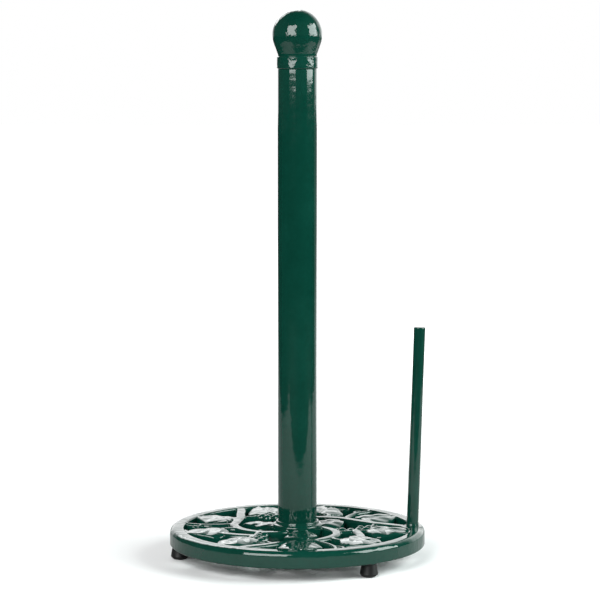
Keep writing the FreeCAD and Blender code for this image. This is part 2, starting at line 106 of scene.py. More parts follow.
# ---------------------------------------------------------------- the sculpting grid
class Sculpt:
    """A solid as a field on a grid, positive inside, that grows by smooth unions and is then skinned."""

    def __init__(self, low, high, step):
        self.low, self.step = np.array(low, float), step
        self.n = np.ceil((np.array(high) - self.low) / step).astype(int) + 1
        self.axes = [self.low[i] + step * np.arange(self.n[i]) for i in range(3)]
        self.f = np.full(self.n, -4.0, np.float32)

    def window(self, low, high):
        """The index ranges that cover a box, as slices."""
        a = np.clip(np.floor((np.array(low) - self.low) / self.step).astype(int), 0, self.n - 1)
        b = np.clip(np.ceil((np.array(high) - self.low) / self.step).astype(int) + 1, 1, self.n)
        return tuple(slice(i, j) for i, j in zip(a, b))

    def places(self, win):
        """The coordinates of a window's grid points, ready to broadcast."""
        x, y, z = (self.axes[i][win[i]] for i in range(3))
        return x[:, None, None], y[None, :, None], z[None, None, :]

    def add(self, win, field, melt=0.7):
        """Joins a field to the solid with a small fillet of the given size where they meet."""
        a, b = self.f[win], np.asarray(field, np.float32)
        self.f[win] = np.maximum(a, b) + np.maximum(melt - np.abs(a - b), 0) ** 2 / (4 * melt)

    def cut(self, win, field):
        """Takes a field away from the solid, with sharp edges."""
        self.f[win] = np.minimum(self.f[win], -np.asarray(field, np.float32))

    def skin(self):
        """Surface nets: a vertex in each cell that the surface crosses, a quad across each crossing edge."""
        f, n = self.f, self.n
        inside = f > 0
        cells = tuple(n - 1)
        total, count = np.zeros(cells + (3,), np.float32), np.zeros(cells, np.int16)
        crossings = []
        for axis in range(3):
            here = [slice(None)] * 3
            there = [slice(None)] * 3
            here[axis], there[axis] = slice(0, -1), slice(1, None)
            a, b = f[tuple(here)], f[tuple(there)]
            ia = inside[tuple(here)]
            hit = ia != inside[tuple(there)]
            at = np.argwhere(hit)
            t = a[hit] / (a[hit] - b[hit])
            spot = at.astype(np.float32)
            spot[:, axis] += t
            others = [i for i in range(3) if i != axis]
            keep = np.ones(len(at), bool)
            for o in others:
                keep &= (at[:, o] > 0) & (at[:, o] < n[o] - 1)
            at, spot, out = at[keep], spot[keep], ia[hit][keep]
            around = []
            for d0, d1 in ((0, 0), (1, 0), (1, 1), (0, 1)):
                cell = at.copy()
                cell[:, others[0]] -= d0
                cell[:, others[1]] -= d1
                np.add.at(total, tuple(cell.T), spot)
                np.add.at(count, tuple(cell.T), 1)
                around.append(cell)
            crossings.append((around, out if axis != 1 else ~out))
        used = count > 0
        number = np.full(cells, -1, np.int64)
        number[used] = np.arange(used.sum())
        verts = total[used] / count[used][:, None] * self.step + self.low
        quads = []
        for around, flip in crossings:
            q = np.stack([number[tuple(c.T)] for c in around], 1)
            q[~flip] = q[~flip][:, ::-1]
            quads.append(q)
        return self.settled(verts), np.concatenate(quads)

    def settled(self, verts, rounds=3):
        """Moves the vertices onto the surface along the field's slope."""
        for _ in range(rounds):
            value, slope = self.sample(verts)
            size = np.maximum((slope**2).sum(1), 0.05)
            verts = verts - np.clip(value / size, -0.3, 0.3)[:, None] * slope
        return verts

    def sample(self, points):
        """The field and its slope at points, by trilinear interpolation."""
        g = (points - self.low) / self.step
        i = np.clip(np.floor(g).astype(int), 0, self.n - 2)
        u = g - i
        x, y, z = ((a, a + 1) for a in i.T)
        c = [[[self.f[x[a], y[b], z[d]] for d in (0, 1)] for b in (0, 1)] for a in (0, 1)]
        ux, uy, uz = u.T

        def mix(p, q, t):
            return p * (1 - t) + q * t

        xy = [[mix(c[0][b][d], c[1][b][d], ux) for d in (0, 1)] for b in (0, 1)]
        value = mix(mix(xy[0][0], xy[1][0], uy), mix(xy[0][1], xy[1][1], uy), uz)
        dz = mix(xy[0][1], xy[1][1], uy) - mix(xy[0][0], xy[1][0], uy)
        dy = mix(xy[1][0], xy[1][1], uz) - mix(xy[0][0], xy[0][1], uz)
        lo = mix(mix(c[0][0][0], c[0][1][0], uy), mix(c[0][0][1], c[0][1][1], uy), uz)
        hi = mix(mix(c[1][0][0], c[1][1][0], uy), mix(c[1][0][1], c[1][1][1], uy), uz)
        return value, np.stack([hi - lo, dy, dz], 1) / self.step


def round_corner(a, b, r):
    """The smaller of two depths, with the corner where they meet rounded to radius r."""
    both = (a < r) & (b < r)
    arc = r - np.hypot(np.maximum(r - a, 0), np.maximum(r - b, 0))
    return np.where(both, arc, np.minimum(a, b))


def polar(degrees, radius):
    a = math.radians(degrees)
    return np.array([radius * math.cos(a), radius * math.sin(a)])


def smooth_path(stations, per_span=14):
    """A Catmull-Rom path through (degrees, radius) stations."""
    p = np.array([polar(a, r) for a, r in stations])
    p = np.vstack([2 * p[0] - p[1], p, 2 * p[-1] - p[-2]])
    out = []
    for i in range(1, len(p) - 2):
        t = np.linspace(0, 1, per_span, endpoint=False)[:, None]
        a, b, c, d = p[i - 1], p[i], p[i + 1], p[i + 2]
        square, cube = 2 * a - 5 * b + 4 * c - d, 3 * b - a - 3 * c + d
        out.append(0.5 * (2 * b + (c - a) * t + square * t**2 + cube * t**3))
    return np.vstack(out + [p[-2:-1]])


def distance_to_path(x, y, path):
    """Distance from each point to a polyline, and how far along it the nearest place is, from 0 to 1."""
    best = np.full(np.broadcast(x, y).shape, 1e9)
    along = np.zeros_like(best)
    lengths = np.linalg.norm(np.diff(path, axis=0), axis=1)
    starts = np.r_[0, np.cumsum(lengths)]
    for i, (a, b) in enumerate(zip(path[:-1], path[1:])):
        d = b - a
        t = np.clip(((x - a[0]) * d[0] + (y - a[1]) * d[1]) / max(d @ d, 1e-9), 0, 1)
        r = np.hypot(x - a[0] - t * d[0], y - a[1] - t * d[1])
        closer = r < best
        best = np.where(closer, r, best)
        along = np.where(closer, (starts[i] + t * lengths[i]) / starts[-1], along)
    return best, along


def arc_points(a, b, c, count=9):
    """Points on the arc from a to c by way of b, without the last."""
    (ax, ay), (bx, by), (cx, cy) = a, b, c
    d = 2 * (ax * (by - cy) + bx * (cy - ay) + cx * (ay - by))
    if abs(d) < 1e-9:
        return [tuple(np.array(a) + (np.array(c) - a) * i / count) for i in range(count)]
    ux = ((ax**2 + ay**2) * (by - cy) + (bx**2 + by**2) * (cy - ay) + (cx**2 + cy**2) * (ay - by)) / d
    uy = ((ax**2 + ay**2) * (cx - bx) + (bx**2 + by**2) * (ax - cx) + (cx**2 + cy**2) * (bx - ax)) / d
    r = math.hypot(ax - ux, ay - uy)
    a0, a1, a2 = (math.atan2(py - uy, px - ux) for px, py in (a, b, c))
    turn = (a2 - a0) % (2 * math.pi)
    if (a1 - a0) % (2 * math.pi) > turn:
        turn -= 2 * math.pi
    angles = [a0 + turn * i / count for i in range(count)]
    return [(ux + r * math.cos(t), uy + r * math.sin(t)) for t in angles]


def leaf_outline(length, width):
    """A leaf in plan with its stem at the origin and its tip along +X."""
    side, here = [], (0.0, 0.0)
    for via, end in LEAF_OUTLINE:
        a, b, c = ((p[0] * length, p[1] * width / 2) for p in (here, via, end))
        side += arc_points(a, b, c)
        here = end
    side.append((length, 0.0))
    side = np.array(side)
    return np.vstack([side, side[-2:0:-1] * (1, -1)])


def depth_in_outline(x, y, outline):
    """Signed distance to a closed outline, positive inside."""
    closed = np.vstack([outline, outline[:1]])
    d, _ = distance_to_path(x, y, closed)
    inside = np.zeros(d.shape, bool)
    for (x0, y0), (x1, y1) in zip(closed[:-1], closed[1:]):
        if y0 == y1:
            continue
        inside ^= ((y0 > y) != (y1 > y)) & (x < (x1 - x0) * (y - y0) / (y1 - y0) + x0)
    return np.where(inside, d, -d)


def ridge(d, height, width):
    """A smooth ridge over d = 0."""
    return height * np.exp(-((d / width) ** 2))


def add_vine(s, stations, width, turn, taper=0.0, top=VINE_TOP_Z):
    """A vine with a rounded back; taper is the share of its width that it loses on the way."""
    path = smooth_path([(a + turn, r) for a, r in stations])
    low, high = path.min(0) - width, path.max(0) + width
    win = s.window([*low, VINE_LOW_Z - 1], [*high, top + 1])
    x, y, z = s.places(win)
    d, t = distance_to_path(x[:, :, 0], y[:, :, 0], path)
    half = (width / 2) * (1 - taper * t)
    side = (half - d)[:, :, None]
    field = round_corner(side, top - z, np.clip(half * 0.9, 0.3, 1.7)[:, :, None])
    s.add(win, round_corner(field, z - VINE_LOW_Z, 0.6))


def add_leaf(s, spec, turn):
    """A crowned leaf with a midrib in a shallow groove and slanting furrows, standing on its outline."""
    degrees, radius, swing, length, width = spec
    root = polar(degrees + turn, radius)
    a = math.radians(degrees + turn + swing)
    reach = length * 0.75
    middle = root + np.array([math.cos(a), math.sin(a)]) * length / 2
    win = s.window([*(middle - reach), LEAF_LOW_Z - 1], [*(middle + reach), LEAF_CROWN_Z + 2])
    x, y, z = s.places(win)
    dx, dy = x[:, :, 0] - root[0], y[:, :, 0] - root[1]
    u, v = dx * math.cos(a) + dy * math.sin(a), -dx * math.sin(a) + dy * math.cos(a)
    depth = depth_in_outline(u, v, leaf_outline(length, width))
    across = np.abs(v) / (width / 2)
    along = (u - LEAF_CROWN_AT * length) / ((1 - LEAF_CROWN_AT) * length)
    crown = LEAF_CROWN_Z - LEAF_SIDE_DROP * across**2.4 - LEAF_END_DROP * np.abs(along) ** 3
    furrow = np.clip(np.abs(v) / 2.2, 0, 1) * np.clip(depth / 2.5, 0, 1)
    slant = (u - FURROW_SLANT * np.abs(v)) / (length * FURROW_SPACING)
    crown = crown + furrow * FURROW_DEPTH * np.cos(2 * math.pi * slant)
    crown = crown + np.clip(v, -2, 2) * 0.10 - 0.012 * (u - length / 2)
    midrib = ridge(v, MIDRIB_RISE, MIDRIB_WIDTH) * (1 - 0.4 * u / length)
    crown = crown + midrib - ridge(v, GROOVE_DEPTH, GROOVE_WIDTH)
    field = round_corner(depth[:, :, None], crown[:, :, None] - z, 0.8)
    s.add(win, round_corner(field, z - LEAF_LOW_Z, 0.6))


def add_berry(s, degrees, radius):
    """A round berry on a short stub."""
    cx, cy = polar(degrees, radius)
    win = s.window([cx - 4, cy - 4, VINE_LOW_Z - 1], [cx + 4, cy + 4, TOP_Z + 2])
    x, y, z = s.places(win)
    flat = np.hypot(x - cx, y - cy)
    ball = BERRY_R - np.sqrt(flat**2 + (z - BERRY_Z) ** 2)
    stub = np.minimum(BERRY_R * 0.85 - flat, np.minimum(BERRY_Z - z, z - VINE_LOW_Z))
    s.add(win, np.maximum(ball, stub), 0.4)


def add_drum(s, cx, cy, radius, low, high, top_round, melt=0.7):
    """An upright boss with a rounded top edge."""
    win = s.window([cx - radius - 1, cy - radius - 1, low - 1], [cx + radius + 1, cy + radius + 1, high + 1])
    x, y, z = s.places(win)
    side = radius - np.hypot(x - cx, y - cy)
    s.add(win, round_corner(round_corner(side, high - z, top_round), z - low, 0.5), melt)


def cut_drum(s, cx, cy, radius, low, high):
    """An upright round hole."""
    win = s.window([cx - radius - 1, cy - radius - 1, low - 1], [cx + radius + 1, cy + radius + 1, high + 1])
    x, y, z = s.places(win)
    s.cut(win, np.minimum(radius - np.hypot(x - cx, y - cy), np.minimum(z - low, high - z)))


def sculpt_base():
    """The whole base casting: three sectors of openwork, the rim, the hub and every boss and hole."""
    reach = BASE_R + 2
    s = Sculpt([-reach, -reach, UNDER_Z - 2], [reach, reach, 26.0], GRID)
    whole = s.window([-reach - 1, -reach - 1, 0], [reach + 1, reach + 1, 30])
    for i in range(3):
        turn = FIRST_DEG + SECTOR_DEG * i
        add_vine(s, SCROLL, VINE_WIDTH, turn, 0.2)
        for stations in LIMBS:
            add_vine(s, stations, LIMB_WIDTH, turn, -0.1)
        for stations in BRANCHES:
            add_vine(s, stations, BRANCH_WIDTH, turn, 0.1, VINE_TOP_Z - 0.2)
        for stations in TENDRILS:
            add_vine(s, stations, TENDRIL_WIDTH, turn, 0.2, VINE_TOP_Z - 0.6)
        for spec in LEAVES:
            add_leaf(s, spec, turn)
        for degrees, radius in BERRIES:
            add_berry(s, degrees + turn, radius)
    x, y, z = s.places(whole)
    r = np.hypot(x, y)
    lumps = np.sin(x / 5.1 + 1.3) * np.sin(y / 4.3 + z / 6.0) + np.sin(x / 2.9 - y / 3.7 + 0.5) * 0.5
    ring = round_corner(BASE_R - 0.08 + 0.05 * lumps - r, TOP_Z - 0.05 + 0.05 * lumps - z, 3.5)
    ring = np.minimum(ring, round_corner(r - RIM_INNER_R, TOP_Z - z, 1.2))
    ring = np.minimum(ring, round_corner(BASE_R - r, z - UNDER_Z, 1.2))
    s.add(whole, ring, 0.8)
    add_drum(s, 0, 0, HUB_R, UNDER_Z, HUB_TOP_Z, 1.1)
    add_drum(s, 0, 0, SEAT_R, 15.0, SEAT_TOP_Z, 0.9)
    add_drum(s, ARM_AT, 0, BOSS_R, UNDER_Z, TOP_Z, 0.8)
    for degrees in FOOT_DEGS:
        cx, cy = polar(degrees, FOOT_AT_R)
        add_drum(s, cx, cy, FOOT_BOSS_R, UNDER_Z, TOP_Z - 1.5, 1.0)
        cut_drum(s, cx, cy, FOOT_HOLE_R, 0.0, FOOT_HOLE_TOP_Z)
    # the tube's socket, the bolt's hole and counterbore, then the same two for the arm's screw
    cut_drum(s, 0, 0, SOCKET_R, SOCKET_Z, 40.0)
    cut_drum(s, 0, 0, BOLT_HOLE_R, 0.0, 30.0)
    cut_drum(s, 0, 0, BOLT_RECESS_R, 0.0, BOLT_RECESS_TOP_Z)
    cut_drum(s, ARM_AT, 0, ARM_HOLE_R, 0.0, ARM_HOLE_TOP_Z)
    cut_drum(s, ARM_RECESS_AT, 0, ARM_RECESS_R, 0.0, ARM_RECESS_TOP_Z)
    return s.skin()


def mesh_object(name, verts, faces):
    """A smooth-shaded object from arrays of vertices in mm and of faces."""
    me = bpy.data.meshes.new(name)
    verts, faces = np.asarray(verts, np.float32) * MM, np.asarray(faces)
    me.vertices.add(len(verts))
    me.vertices.foreach_set("co", verts.ravel())
    n, k = faces.shape
    me.loops.add(n * k)
    me.loops.foreach_set("vertex_index", faces.ravel().astype(np.int32))
    me.polygons.add(n)
    me.polygons.foreach_set("loop_start", np.arange(0, n * k, k, dtype=np.int32))
    me.update(calc_edges=True)
    me.validate()
    me.polygons.foreach_set("use_smooth", np.ones(len(me.polygons), bool))
    o = bpy.data.objects.new(name, me)
    bpy.context.scene.collection.objects.link(o)
    return o


def applied(o):
    """Bakes an object's modifiers into its mesh."""
    graph = bpy.context.evaluated_depsgraph_get()
    me = bpy.data.meshes.new_from_object(o.evaluated_get(graph))
    o.modifiers.clear()
    old, o.data = o.data, me
    bpy.data.meshes.remove(old)
    me.name = o.name
    return o


def softened(points, closed=False, steps=5, support=0.12):
    """A profile of (radius, height, rounding) points, with its corners rounded and held by support points."""
    out, n = [], len(points)
    for i, (r, z, rounding) in enumerate(points):
        here = np.array([r, z])
        if rounding <= 0 or (not closed and i in (0, n - 1)):
            out.append(here)
            continue
        back = np.array(points[i - 1][:2]) - here
        ahead = np.array(points[(i + 1) % n][:2]) - here
        lb, la = np.linalg.norm(back), np.linalg.norm(ahead)
        back, ahead = back / lb, ahead / la
        half = math.acos(float(np.clip(back @ ahead, -1, 1))) / 2
        cut = min(rounding / math.tan(half), 0.48 * lb, 0.48 * la)
        start, end = here + back * cut, here + ahead * cut
        centre = here + (back + ahead) / np.linalg.norm(back + ahead) * cut / math.cos(half)
        if lb > 2.5 * cut + support:
            out.append(start + back * support)
        for t in np.linspace(0, 1, steps + 1):
            d = start * (1 - t) + end * t - centre
            out.append(centre + d / np.linalg.norm(d) * np.linalg.norm(start - centre))
        if la > 2.5 * cut + support:
            out.append(end + ahead * support)
    return np.array(out)


def rings_object(name, rings, material, node, body, slot, closed=False, split=False, lean=None):
    """Skins a stack of rings, each (count, 3) in mm, and stands it in for its CAD node."""
    rings = np.asarray(rings, float)
    m, n, _ = rings.shape
    i, j = np.meshgrid(np.arange(m if closed else m - 1), np.arange(n - 1 if split else n), indexing="ij")
    i2, j2 = (i + 1) % m, (j + 1) % n
    faces = np.stack([i * n + j, i * n + j2, i2 * n + j2, i2 * n + j], -1).reshape(-1, 4)
    verts = rings.reshape(-1, 3)
    if lean is not None:
        verts = lean(verts)
    me = bpy.data.meshes.new(name)
    me.from_pydata((verts * MM).tolist(), [], faces.tolist())
    bm = bmesh.new()
    bm.from_mesh(me)
    bmesh.ops.remove_doubles(bm, verts=bm.verts, dist=1e-7)
    if split:
        bmesh.ops.holes_fill(bm, edges=[e for e in bm.edges if e.is_boundary])
    bmesh.ops.recalc_face_normals(bm, faces=bm.faces)
    bm.to_mesh(me)
    bm.free()
    me.polygons.foreach_set("use_smooth", np.ones(len(me.polygons), bool))
    me.set_sharp_from_angle(angle=math.radians(38))
    o = bpy.data.objects.new(name, me)
    bpy.context.scene.collection.objects.link(o)
    me.materials.append(material)
    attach(o, body)
    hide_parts(node)
    return o


def turned_rings(profile, count, at=(0, 0), shape=None):
    """Rings of a turned piece, whose radius may vary round it by shape(angle, radius, height)."""
    angle = np.linspace(0, 2 * math.pi, count, endpoint=False)
    rings = []
    for r, z in profile:
        here = np.full(count, r) if shape is None else shape(angle, r, z)
        x, y = at[0] + here * np.cos(angle), at[1] + here * np.sin(angle)
        rings.append(np.stack([x, y, np.full(count, z)], 1))
    return rings


def hexagon_radius(angle, across):
    """The radius of a hexagon of the given width across its flats."""
    return across / 2 / np.cos((angle % (math.pi / 3)) - math.pi / 6)


# ---------------------------------------------------------------- materials
class Nodes:
    """A short way to write a node tree."""

    def __init__(self, name):
        self.mat = bpy.data.materials.new(name)
        self.mat.use_nodes = True
        self.tree = self.mat.node_tree
        self.bsdf = next(n for n in self.tree.nodes if n.type == "BSDF_PRINCIPLED")
        self.coord = self.add("ShaderNodeTexCoord").outputs["Object"]

    def add(self, kind, **inputs):
        n = self.tree.nodes.new(kind)
        for key, value in inputs.items():
            sock = n.inputs[key.replace("_", " ")]
            if isinstance(value, bpy.types.NodeSocket):
                self.tree.links.new(value, sock)
            else:
                sock.default_value = value
        return n

    def link(self, out, sock):
        self.tree.links.new(out, sock)

    def noise(self, scale, detail=2.0, rough=0.5, vector=None):
        n = self.add("ShaderNodeTexNoise", Scale=scale, Detail=detail, Roughness=rough)
        self.link(vector or self.coord, n.inputs["Vector"])
        return n.outputs["Fac"]

    def math(self, op, a, b=0.0):
        n = self.add("ShaderNodeMath")
        n.operation = op
        for sock, v in zip(n.inputs, (a, b)):
            if isinstance(v, bpy.types.NodeSocket):
                self.link(v, sock)
            else:
                sock.default_value = v
        return n.outputs[0]

    def ramp(self, fac, stops):
        n = self.add("ShaderNodeValToRGB")
        self.link(fac, n.inputs["Fac"])
        while len(n.color_ramp.elements) < len(stops):
            n.color_ramp.elements.new(0.5)
        for e, (at, c) in zip(n.color_ramp.elements, stops):
            e.position, e.color = at, (*c, 1.0) if len(c) == 3 else c
        return n.outputs["Color"]

    def bump(self, height, distance, strength=1.0, normal=None):
        n = self.add("ShaderNodeBump", Strength=strength, Distance=distance)
        self.link(height, n.inputs["Height"])
        if normal:
            self.link(normal, n.inputs["Normal"])
        return n.outputs["Normal"]


def enamel(name, lumps, runs=0.0):
    """Thick green glaze: lumps is how uneven it lies, runs how much it has crept into small bulges."""
    m = Nodes(name)
    broad = m.noise(38.0, 3.0, 0.55)
    fine = m.noise(420.0, 2.0, 0.5)
    tone = m.math("ADD", m.math("MULTIPLY", broad, 0.7), m.math("MULTIPLY", fine, 0.3))
    greens = [
        (0.25, (0.0013, 0.0295, 0.0195)),
        (0.50, (0.0021, 0.0370, 0.0250)),
        (0.80, (0.0036, 0.0465, 0.0323)),
    ]
    m.link(m.ramp(tone, greens), m.bsdf.inputs["Base Color"])
    rough = m.math("MULTIPLY_ADD", m.noise(90.0, 3.0), 0.05)
    rough.node.inputs[2].default_value = 0.03
    m.link(rough, m.bsdf.inputs["Roughness"])
    m.bsdf.inputs["IOR"].default_value = 1.5
    peel = m.bump(m.noise(260.0, 2.0), 0.00006 * lumps)
    wave = m.bump(m.noise(70.0, 2.0), 0.00035 * lumps, normal=peel)
    if runs:
        wave = m.bump(m.noise(190.0, 3.0, 0.6), 0.00035 * runs, normal=wave)
    m.link(wave, m.bsdf.inputs["Normal"])
    return m.mat


def rubber():
    """Black moulded rubber with a fine grain."""
    m = Nodes("black_rubber")
    tone = m.noise(300.0, 4.0, 0.6)
    blacks = [(0.3, (0.0035, 0.0035, 0.0037)), (0.7, (0.007, 0.007, 0.0072))]
    m.link(m.ramp(tone, blacks), m.bsdf.inputs["Base Color"])
    m.bsdf.inputs["Roughness"].default_value = 0.45
    m.bsdf.inputs["Specular IOR Level"].default_value = 0.3
    m.link(m.bump(m.noise(1500.0, 3.0), 0.00004), m.bsdf.inputs["Normal"])
    return m.mat


def zinc():
    """Zinc plated steel, mottled in tone and in polish."""
    m = Nodes("zinc_steel")
    tone = m.noise(500.0, 4.0, 0.6)
    m.link(m.ramp(tone, [(0.3, (0.45, 0.45, 0.44)), (0.7, (0.62, 0.62, 0.60))]), m.bsdf.inputs["Base Color"])
    m.bsdf.inputs["Metallic"].default_value = 1.0
    m.link(m.math("MULTIPLY", tone, 0.6), m.bsdf.inputs["Roughness"])
    m.link(m.bump(m.noise(900.0, 3.0), 0.00003), m.bsdf.inputs["Normal"])
    return m.mat


ENAMEL_CAST = enamel("green_enamel_casting", 1.8)
ENAMEL_BALL = enamel("green_enamel_ball", 2.0, 1.0)
ENAMEL_TUBE = enamel("green_enamel_tube", 0.35)
RUBBER = rubber()
ZINC = zinc()
for node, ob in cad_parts.items():
    mat = ENAMEL_TUBE
    if node in ("base_casting", "finial"):
        mat = ENAMEL_CAST
    elif node.startswith("foot_"):
        mat = RUBBER
    elif node not in ("post_tube", "side_arm"):
        mat = ZINC
    ob.data.materials.clear()
    ob.data.materials.append(mat)

# ---------------------------------------------------------------- the base casting
verts, faces = sculpt_base()
base = mesh_object("base_sculpt", verts, faces)
thin = base.modifiers.new("thin", "DECIMATE")
thin.ratio = min(1.0, BASE_TRIANGLES / (2 * len(faces)))
applied(base)
base.data.polygons.foreach_set("use_smooth", np.ones(len(base.data.polygons), bool))
base.data.materials.append(ENAMEL_CAST)
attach(base, "stand")
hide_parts("base_casting")

# ---------------------------------------------------------------- the post and its finial
POST_R, POST_BORE_R, POST_LOW_Z, POST_TOP_Z = 12.5, 11.3, 20.5, 315.3


def post_wave(angle, r, z):
    """Drawn tube under enamel is never quite round: a few hundredths of a millimetre of slow wave."""
    if r < POST_R - 0.5:
        return np.full_like(angle, r)
    return r - 0.02 + 0.02 * np.sin(2 * angle + z / 47) * np.cos(z / 31) * np.sin(angle + z / 90)


outer_wall = [(POST_R, POST_LOW_Z, 0.4), (POST_R, POST_TOP_Z, 0.9)]
bore_wall = [(POST_BORE_R, POST_TOP_Z, 0.3), (POST_BORE_R, POST_LOW_Z, 0.3)]
profile = [tuple(p) for p in softened(outer_wall + bore_wall, True)]
# the outer wall is the one long span at full radius, and it gets the rings that the wave needs
spans = [math.dist(a, b) * (a[0] > POST_R - 0.01) for a, b in zip(profile, profile[1:] + profile[:1])]
wall = spans.index(max(spans))
low, high = np.array(profile[wall]), np.array(profile[wall + 1])
profile[wall + 1:wall + 1] = [tuple(low + (high - low) * t) for t in np.linspace(0, 1, 50)[1:-1]]
rings = turned_rings(profile, 96, shape=post_wave)
rings_object("post_skin", rings, ENAMEL_TUBE, "post_tube", "stand", "green_enamel_tube", closed=True)

BALL_R, BALL_Z = 16.0, 336.9
STUD_BORE_R, STUD_BORE_TOP_Z = 4.0, 330.8
COLLAR_R, COLLAR_TOP_Z = 13.05, 322.5
TAPER, TAPER_LOW_R, TAPER_LOW_Z = math.radians(20), 12.8, 325.3


def ball_wave(angle, r, z):
    """A cast ball is out of true by a few hundredths of a millimetre, which fades out towards its top."""
    swell = 0.05 * np.sin(2 * angle + 0.7) * np.sin((z - 315) / 6.5) + 0.03 * np.sin(3 * angle + z / 5)
    return np.full_like(angle, r) if r < 6 or z < 323 else r + (swell - 0.05) * min(1.0, (r - 6) / 6)


# the stud's bore, the collar, the groove, and then the straight taper into the ball
bore = [(0, STUD_BORE_TOP_Z, 0), (STUD_BORE_R, STUD_BORE_TOP_Z, 0.2), (STUD_BORE_R, POST_TOP_Z, 0.25)]
collar = [(COLLAR_R, POST_TOP_Z, 0.8), (COLLAR_R, COLLAR_TOP_Z, 0.55)]
groove = [(12.45, 323.25, 0.3), (12.62, 324.82, 0.5), (TAPER_LOW_R, TAPER_LOW_Z, 0)]
under = softened(bore + collar + groove)
neck_r, neck_z = BALL_R * math.cos(TAPER), BALL_Z - BALL_R * math.sin(TAPER)
rise_r, rise_z = neck_r - TAPER_LOW_R, neck_z - TAPER_LOW_Z
neck = [(TAPER_LOW_R + rise_r * t, TAPER_LOW_Z + rise_z * t) for t in np.linspace(0, 0.94, 8)]
crown = [(BALL_R * math.cos(t), BALL_Z + BALL_R * math.sin(t)) for t in np.linspace(-TAPER, math.pi / 2, 28)]
crown[-1] = (0.0, BALL_Z + BALL_R)
profile = [tuple(p) for p in under[:-1]] + neck + crown
rings = turned_rings(profile, 128, shape=ball_wave)
rings_object("finial_cast", rings, ENAMEL_BALL, "finial", "finial", "green_enamel_casting")

# the stud's thread, M8 by 1.25
PITCH, CREST_R, ROOT_R, STUD_LOW_Z, STUD_HIGH_Z = 1.25, 3.95, 3.30, 303.8, 329.3


def thread_rings(low, high, crest, root, pitch, count=40, chamfer=0.7):
    """Rings of a threaded rod, whose flanks climb one pitch a turn and run out at both chamfered ends."""
    angle = np.linspace(0, 2 * math.pi, count, endpoint=False)
    rings = [np.stack([0 * angle, 0 * angle, 0 * angle + low], 1)]
    heights = np.linspace(low, high, int((high - low) / pitch * 8) + 1)
    for z in heights:
        turn = (z / pitch - angle / (2 * math.pi)) % 1.0
        r = root + (crest - root) * np.clip(2.3 * np.abs(2 * turn - 1) - 0.65, 0, 1)
        r = np.minimum(r, crest - chamfer + min(z - low, high - z, chamfer))
        rings.append(np.stack([r * np.cos(angle), r * np.sin(angle), 0 * angle + z], 1))
    rings.append(np.stack([0 * angle, 0 * angle, 0 * angle + high], 1))
    return rings


rings = thread_rings(STUD_LOW_Z, STUD_HIGH_Z, CREST_R, ROOT_R, PITCH)
rings_object("stud_thread", rings, ZINC, "finial_stud", "stud", "zinc_steel")

PLUG_R, PLUG_LENGTH, PLUG_CHAMFER = 11.28, 12.0, 0.7
for name, node, low, bore in (
    ("head_plug_ring", "post_head_plug", 302.5, 4.0),
    ("foot_plug_ring", "post_foot_plug", 20.5, 4.02),
):
    high, mouth = low + PLUG_LENGTH, bore + PLUG_CHAMFER
    profile = [(PLUG_R, low, 0.3), (PLUG_R, high, 0.5), (mouth, high, 0)]
    profile += [(bore, high - PLUG_CHAMFER, 0), (bore, low + PLUG_CHAMFER, 0), (mouth, low, 0)]
    rings = turned_rings(softened(profile, True), 64)
    rings_object(name, rings, ZINC, node, "stand", "zinc_steel", closed=True)

# ---------------------------------------------------------------- the side arm and its fixings
ARM_R, ARM_BULGE_Z = 3.75, 148.2


def arm_lean(verts):
    """Leans a piece outward about the point where the arm meets the rim's top."""
    x, z = verts[:, 0] - ARM_AT, verts[:, 2] - TOP_Z
    c, s = math.cos(ARM_LEAN), math.sin(ARM_LEAN)
    return np.stack([ARM_AT + x * c + z * s, verts[:, 1], TOP_Z - x * s + z * c], 1)


def arm_wave(angle, r, z):
    """A slow wave along the rod, and the slightly fuller line that enamel leaves under its top edge."""
    if r <= 3:
        return np.full_like(angle, r)
    bulge = 0.10 * math.exp(-(((z - ARM_BULGE_Z) / 0.9) ** 2))
    return r + 0.03 * np.sin(angle * 2 + z / 23) + bulge - 0.03


profile = [(0.0, 19.8), (4.0, 19.8), (4.02, 20.3), (4.10, 20.7), (4.02, 21.15), (3.86, 21.6), (3.77, 22.2)]
profile += [(ARM_R, z) for z in np.linspace(23.5, 147.0, 60)]
profile += [tuple(p) for p in softened([(ARM_R, 147.2, 0), (ARM_R, 150.0, 0.7), (0, 149.95, 0)])]
rings = turned_rings(profile, 56, (ARM_AT, 0), arm_wave)
rings_object("arm_rod", rings, ENAMEL_TUBE, "side_arm", "stand", "green_enamel_tube", lean=arm_lean)

# the arm's button head screw, with a hexagon socket 3 mm across
SCREW_SEAT_Z, SCREW_R, SOCKET_ACROSS = 12.8, 2.5, 3.0


def socket_shape(angle, r, z):
    """The innermost rings of the head are the socket's hexagon."""
    return hexagon_radius(angle, SOCKET_ACROSS) if r < 1.6 else np.full_like(angle, r)


dome = arc_points((4.6, 12.4), (4.1, 10.75), (2.4, 10.0), 7)
profile = [(0, 11.6), (1.5, 11.6), (1.51, 10.05), (1.75, 10.0)] + dome[::-1]
profile += [(4.6, SCREW_SEAT_Z), (SCREW_R, SCREW_SEAT_Z + 0.02), (SCREW_R, 30.0), (2.0, 30.5), (0, 30.5)]
rings = turned_rings(profile, 72, (ARM_AT, 0), socket_shape)
rings_object("arm_button_screw", rings, ZINC, "arm_screw", "stand", "zinc_steel", lean=arm_lean)


